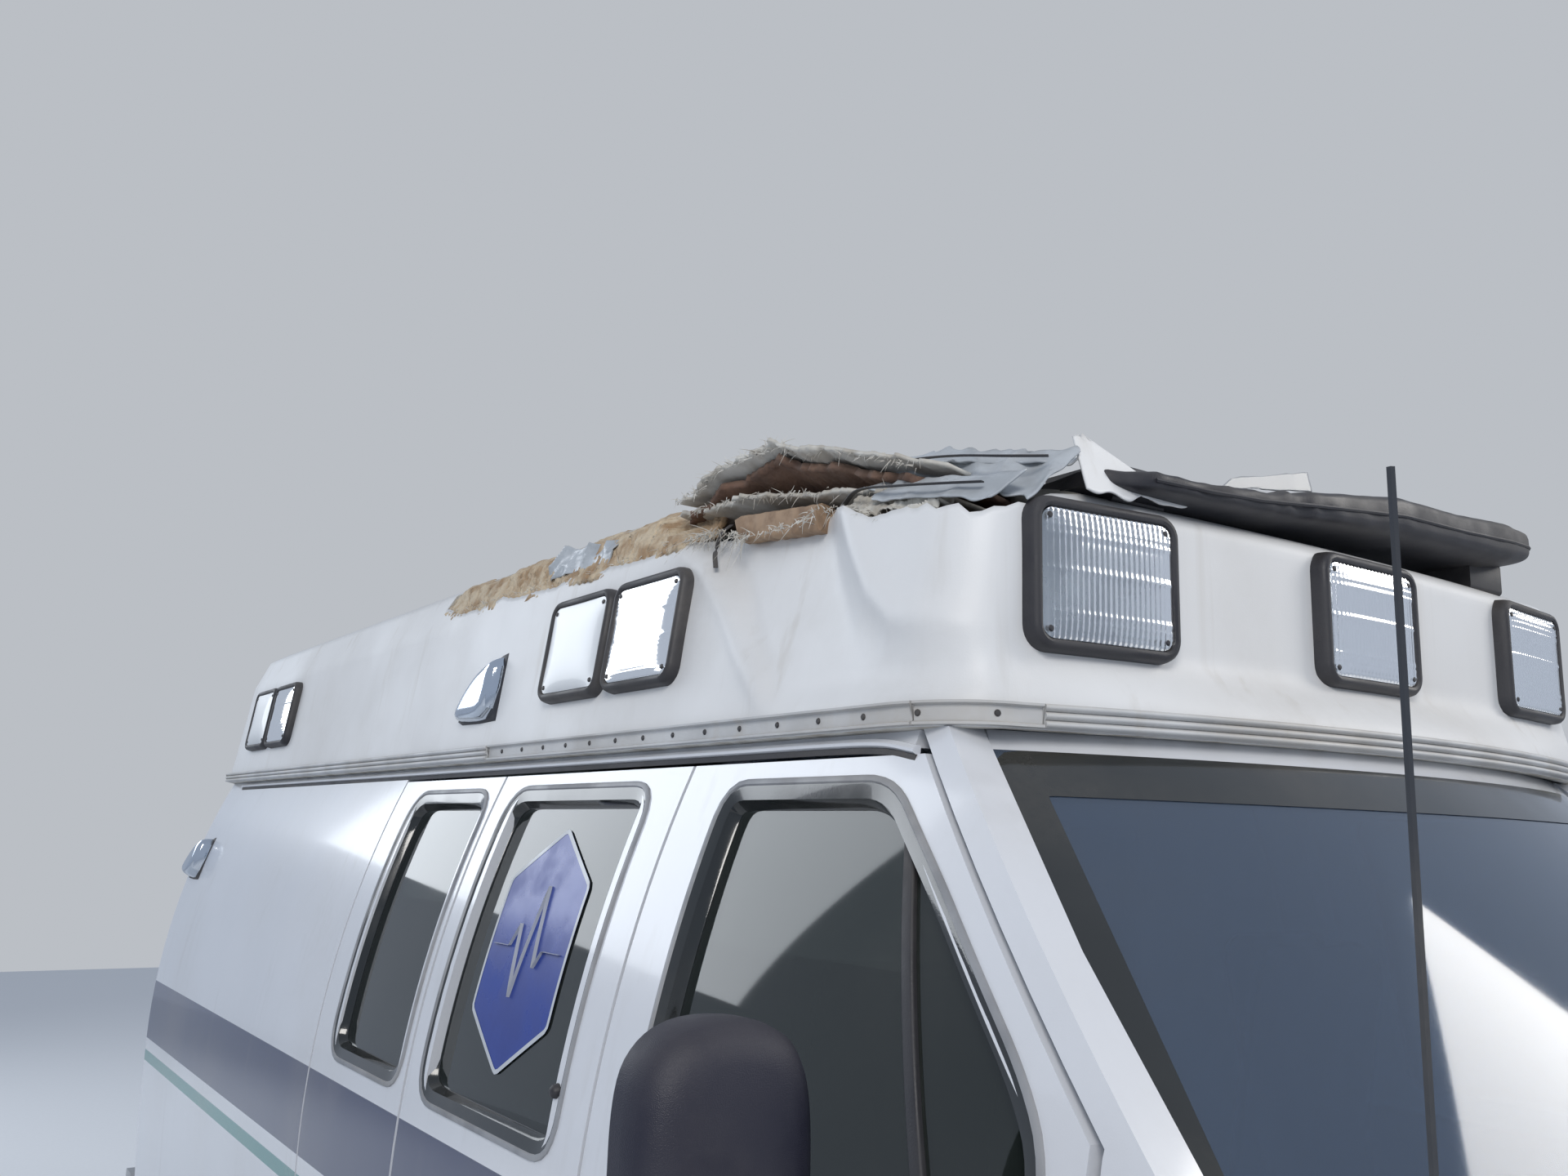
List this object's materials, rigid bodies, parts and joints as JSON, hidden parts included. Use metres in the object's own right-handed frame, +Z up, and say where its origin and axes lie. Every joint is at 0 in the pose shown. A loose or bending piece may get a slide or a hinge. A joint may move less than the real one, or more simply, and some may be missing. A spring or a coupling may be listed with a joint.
{
  "type": "raised-roof van ambulance",
  "caption": "Van ambulance with a raised roof torn open along its right edge, hinged cab, side and rear doors, hinged bonnet, steered front wheels and turning wheels.",
  "frame": {"origin": "on the ground, under the middle of the overall length and width", "axes": "+X to the front, +Y to the vehicle's left, +Z up"},
  "size_m": [5.6198, 2.604, 2.49],
  "materials": {
    "body_white": "gloss paint",
    "roof_white": "gel-coated fibreglass",
    "trim_white": "ribbed moulding",
    "torn_core": "torn laminate core",
    "screen_glass": "tinted laminated glass",
    "tinted_glass": "dark tinted glass",
    "lamp_clear": "clear fluted lens in a black bezel",
    "bar_shell": "weathered light bar shell",
    "bright_metal": "bright plated",
    "step_metal": "tread plate",
    "grille_grey": "moulded grille",
    "mast_steel": "black steel mast",
    "mirror_black": "moulded housing",
    "tail_red": "red lens",
    "frame_black": "chassis black",
    "bare_iron": "cast",
    "exhaust_steel": "heat-stained",
    "floor_grey": "sealed floor",
    "cab_plastic": "grained",
    "seat_vinyl": "vinyl",
    "lining_white": "laminate",
    "tyre_rubber": "rubber",
    "rim_steel": "painted steel"
  },
  "bodies": {
    "body": {"floor_pan": "floor_grey", "frame_rails": "frame_black", "side_panel_left": "body_white", "side_panel_right": "body_white", "rear_frame": "body_white", "cab_frame": "body_white", "fender_left": "body_white", "fender_right": "body_white", "grille": "grille_grey", "headlamps": "lamp_clear", "front_bumper": "bright_metal", "rear_bumper": "step_metal", "windshield": "screen_glass", "raised_roof": "roof_white", "roof_core": "torn_core", "roof_trim": "trim_white", "light_bar": "bar_shell", "front_warning_lamps": "lamp_clear", "side_warning_lamps": "lamp_clear", "roof_vents": "bright_metal", "antenna": "mast_steel", "tail_lamps": "tail_red", "front_axle": "frame_black", "rear_axle": "frame_black", "engine": "bare_iron", "fuel_tank": "frame_black", "exhaust": "exhaust_steel", "dashboard": "cab_plastic", "front_seats": "seat_vinyl", "partition": "lining_white", "bench": "seat_vinyl", "cabinet": "lining_white"},
    "knuckle_l": {"knuckle_left": "bare_iron"},
    "knuckle_r": {"knuckle_right": "bare_iron"},
    "wheel_front_left": {"tyre_front_left": "tyre_rubber", "rim_front_left": "rim_steel"},
    "wheel_front_right": {"tyre_front_right": "tyre_rubber", "rim_front_right": "rim_steel"},
    "wheel_rear_left": {"tyre_rear_left": "tyre_rubber", "rim_rear_left": "rim_steel"},
    "wheel_rear_right": {"tyre_rear_right": "tyre_rubber", "rim_rear_right": "rim_steel"},
    "door_front_left": {"front_door_left": "body_white", "front_door_left_glass": "tinted_glass", "mirror_left": "mirror_black"},
    "door_front_right": {"front_door_right": "body_white", "front_door_right_glass": "tinted_glass", "mirror_right": "mirror_black"},
    "door_side_front": {"side_door_front": "body_white", "side_door_front_glass": "tinted_glass"},
    "door_side_rear": {"side_door_rear": "body_white", "side_door_rear_glass": "tinted_glass"},
    "door_rear_left": {"rear_door_left": "body_white", "rear_door_left_glass": "tinted_glass"},
    "door_rear_right": {"rear_door_right": "body_white", "rear_door_right_glass": "tinted_glass"},
    "bonnet": {"hood": "body_white"}
  },
  "joints": [
    {"name": "steer_left", "type": "hinge", "parent": "body", "child": "knuckle_l", "pos_m": [2.04, 0.811, 0.387], "axis": [0, 0, 1], "range_deg": [-30, 30]},
    {"name": "steer_right", "type": "hinge", "parent": "body", "child": "knuckle_r", "pos_m": [2.04, -0.811, 0.387], "axis": [0, 0, 1], "range_deg": [-30, 30]},
    {"name": "spin_front_left", "type": "hinge", "parent": "knuckle_l", "child": "wheel_front_left", "pos_m": [2.04, 0.881, 0.387], "axis": [0, 1, 0], "continuous": true},
    {"name": "spin_front_right", "type": "hinge", "parent": "knuckle_r", "child": "wheel_front_right", "pos_m": [2.04, -0.881, 0.387], "axis": [0, 1, 0], "continuous": true},
    {"name": "spin_rear_left", "type": "hinge", "parent": "body", "child": "wheel_rear_left", "pos_m": [-1.465, 0.853, 0.387], "axis": [0, 1, 0], "continuous": true},
    {"name": "spin_rear_right", "type": "hinge", "parent": "body", "child": "wheel_rear_right", "pos_m": [-1.465, -0.853, 0.387], "axis": [0, 1, 0], "continuous": true},
    {"name": "door_front_left_hinge", "type": "hinge", "parent": "body", "child": "door_front_left", "pos_m": [1.7, 1.012, 1], "axis": [0, 0, -1], "range_deg": [0, 68]},
    {"name": "door_front_right_hinge", "type": "hinge", "parent": "body", "child": "door_front_right", "pos_m": [1.7, -1.012, 1], "axis": [0, 0, 1], "range_deg": [0, 68]},
    {"name": "door_side_front_hinge", "type": "hinge", "parent": "body", "child": "door_side_front", "pos_m": [0.745, -1.012, 1], "axis": [0, 0, 1], "range_deg": [0, 90]},
    {"name": "door_side_rear_hinge", "type": "hinge", "parent": "body", "child": "door_side_rear", "pos_m": [-0.63, -1.012, 1], "axis": [0, 0, -1], "range_deg": [0, 90]},
    {"name": "door_rear_left_hinge", "type": "hinge", "parent": "body", "child": "door_rear_left", "pos_m": [-2.625, 0.916, 1.2], "axis": [0, 0, -1], "range_deg": [0, 175]},
    {"name": "door_rear_right_hinge", "type": "hinge", "parent": "body", "child": "door_rear_right", "pos_m": [-2.625, -0.916, 1.2], "axis": [0, 0, 1], "range_deg": [0, 175]},
    {"name": "bonnet_hinge", "type": "hinge", "parent": "body", "child": "bonnet", "pos_m": [2.133, 0, 1.314], "axis": [0, -1, 0], "range_deg": [0, 50]}
  ],
  "couplings": [
    {"joint": "steer_right", "follows": "steer_left", "ratio": 1}
  ]
}
